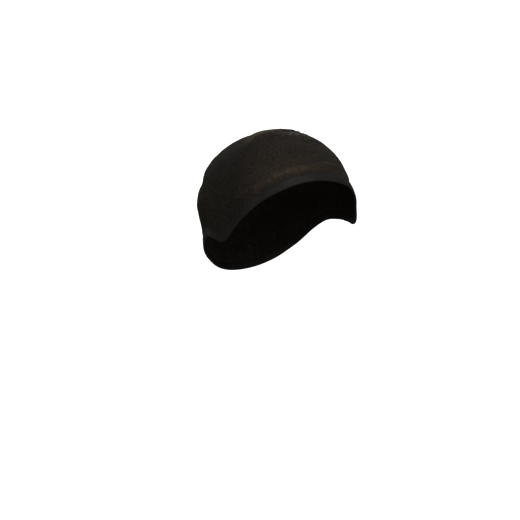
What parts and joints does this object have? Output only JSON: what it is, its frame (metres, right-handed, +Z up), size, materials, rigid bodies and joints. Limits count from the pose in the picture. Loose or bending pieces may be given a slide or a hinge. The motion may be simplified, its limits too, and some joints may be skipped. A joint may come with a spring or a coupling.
{
  "type": "wig cap",
  "caption": "Dark brown-black stretch-knit stocking wig cap in its worn form, hollow below, with an elastic edge band over forehead, ears and nape.",
  "frame": {"origin": "inner face of the crown, straight above the centre of the head form, where the cap sits on a head", "axes": "+Z up, the front of the cap faces -Y, +X to the wearer's left"},
  "size_m": [0.1496, 0.188, 0.1528],
  "materials": {
    "sheer_knit": "matt, sheer",
    "elastic_welt": "satin",
    "seam_thread": "satin"
  },
  "bodies": {
    "root": {"crown": "sheer_knit", "edge_band": "elastic_welt", "closing_seam": "seam_thread"}
  },
  "joints": []
}
